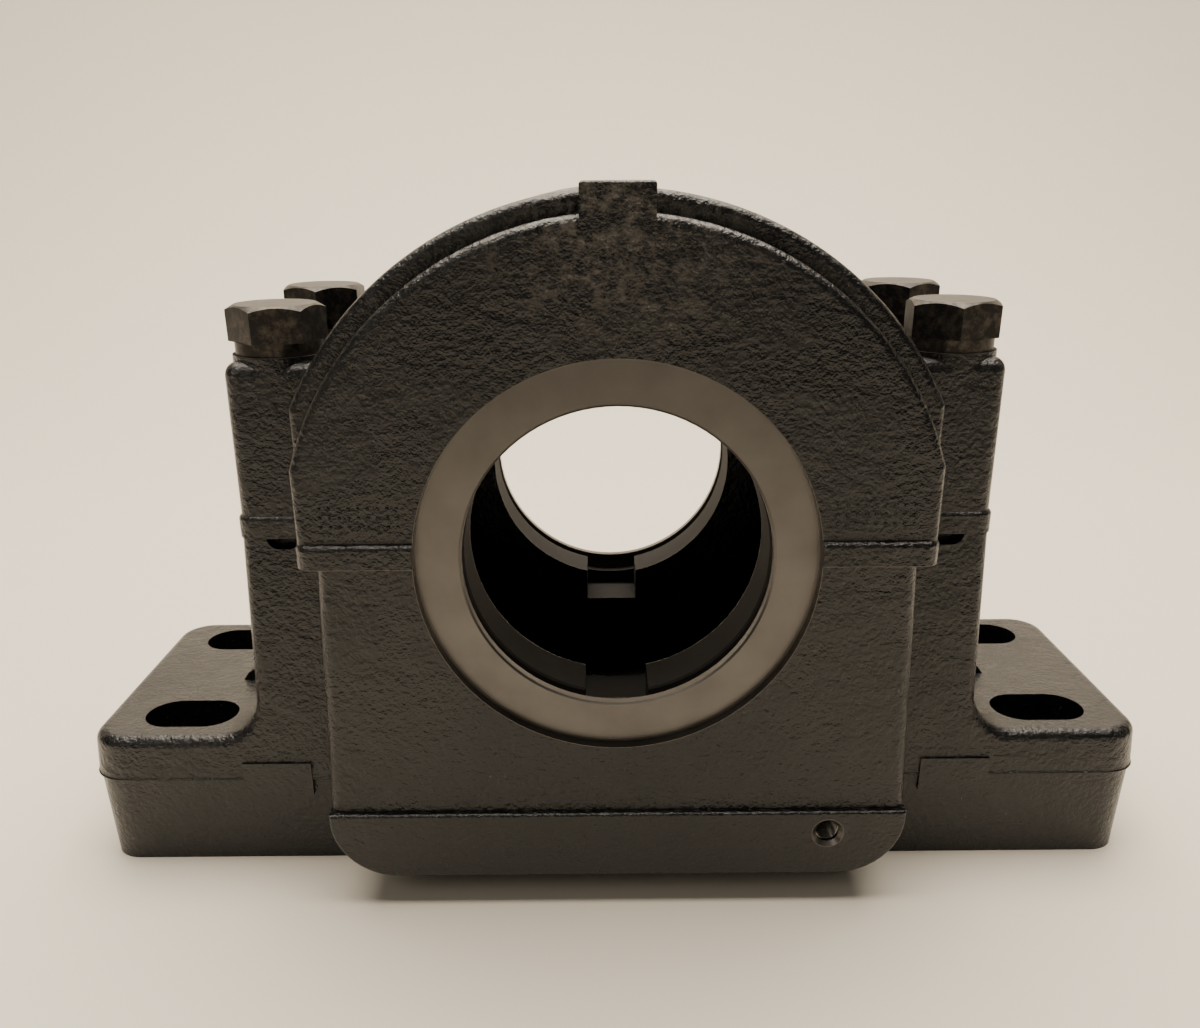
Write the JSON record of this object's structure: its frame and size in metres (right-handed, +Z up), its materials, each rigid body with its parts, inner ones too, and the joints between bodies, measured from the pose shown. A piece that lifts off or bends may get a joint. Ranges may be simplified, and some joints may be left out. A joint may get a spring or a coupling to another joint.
{
  "type": "split plummer block housing",
  "caption": "Split plummer block housing, empty, on a slotted foot, with a bolted cap, a through bore with seal grooves and a bearing seat.",
  "frame": {"origin": "on the underside of the foot, straight below the middle of the shaft bore", "axes": "+X along the foot, +Y along the shaft bore, +Z up, the way the cap lifts"},
  "size_m": [0.416, 0.1804, 0.2565],
  "materials": {
    "housing_base": "satin black paint on rough cast iron, machined faces bare",
    "housing_cap": "satin black paint on rough cast iron, machined faces bare",
    "cap_bolt": "black oxide, worn on the edges",
    "lock_washer": "black oxide",
    "dowel_pin": "ground steel",
    "grease_plug": "black oxide"
  },
  "bodies": {
    "base": {"housing_base": "housing_base", "dowel_pin_left": "dowel_pin", "dowel_pin_right": "dowel_pin"},
    "cap": {"housing_cap": "housing_cap"},
    "grease_plug": {"grease_plug": "grease_plug"},
    "washer_front_left": {"lock_washer_front_left": "lock_washer"},
    "bolt_front_left": {"cap_bolt_front_left": "cap_bolt"},
    "washer_front_right": {"lock_washer_front_right": "lock_washer"},
    "bolt_front_right": {"cap_bolt_front_right": "cap_bolt"},
    "washer_rear_left": {"lock_washer_rear_left": "lock_washer"},
    "bolt_rear_left": {"cap_bolt_rear_left": "cap_bolt"},
    "washer_rear_right": {"lock_washer_rear_right": "lock_washer"},
    "bolt_rear_right": {"cap_bolt_rear_right": "cap_bolt"}
  },
  "joints": [
    {"name": "cap_lift", "type": "slide", "parent": "base", "child": "cap", "axis": [0, 0, 1], "range_m": [0, 0.12]},
    {"name": "grease_plug_lift", "type": "slide", "parent": "cap", "child": "grease_plug", "axis": [0, 0, 1], "range_m": [0, 0.03]},
    {"name": "cap_bolt_front_left_lift", "type": "slide", "parent": "cap", "child": "washer_front_left", "axis": [0, 0, 1], "range_m": [0, 0.105]},
    {"name": "cap_bolt_front_left_turn", "type": "hinge", "parent": "washer_front_left", "child": "bolt_front_left", "pos_m": [-0.12, -0.037, 0.2043], "axis": [0, 0, 1], "continuous": true},
    {"name": "cap_bolt_front_right_lift", "type": "slide", "parent": "cap", "child": "washer_front_right", "axis": [0, 0, 1], "range_m": [0, 0.105]},
    {"name": "cap_bolt_front_right_turn", "type": "hinge", "parent": "washer_front_right", "child": "bolt_front_right", "pos_m": [0.12, -0.037, 0.2043], "axis": [0, 0, 1], "continuous": true},
    {"name": "cap_bolt_rear_left_lift", "type": "slide", "parent": "cap", "child": "washer_rear_left", "axis": [0, 0, 1], "range_m": [0, 0.105]},
    {"name": "cap_bolt_rear_left_turn", "type": "hinge", "parent": "washer_rear_left", "child": "bolt_rear_left", "pos_m": [-0.12, 0.037, 0.2043], "axis": [0, 0, 1], "continuous": true},
    {"name": "cap_bolt_rear_right_lift", "type": "slide", "parent": "cap", "child": "washer_rear_right", "axis": [0, 0, 1], "range_m": [0, 0.105]},
    {"name": "cap_bolt_rear_right_turn", "type": "hinge", "parent": "washer_rear_right", "child": "bolt_rear_right", "pos_m": [0.12, 0.037, 0.2043], "axis": [0, 0, 1], "continuous": true}
  ]
}
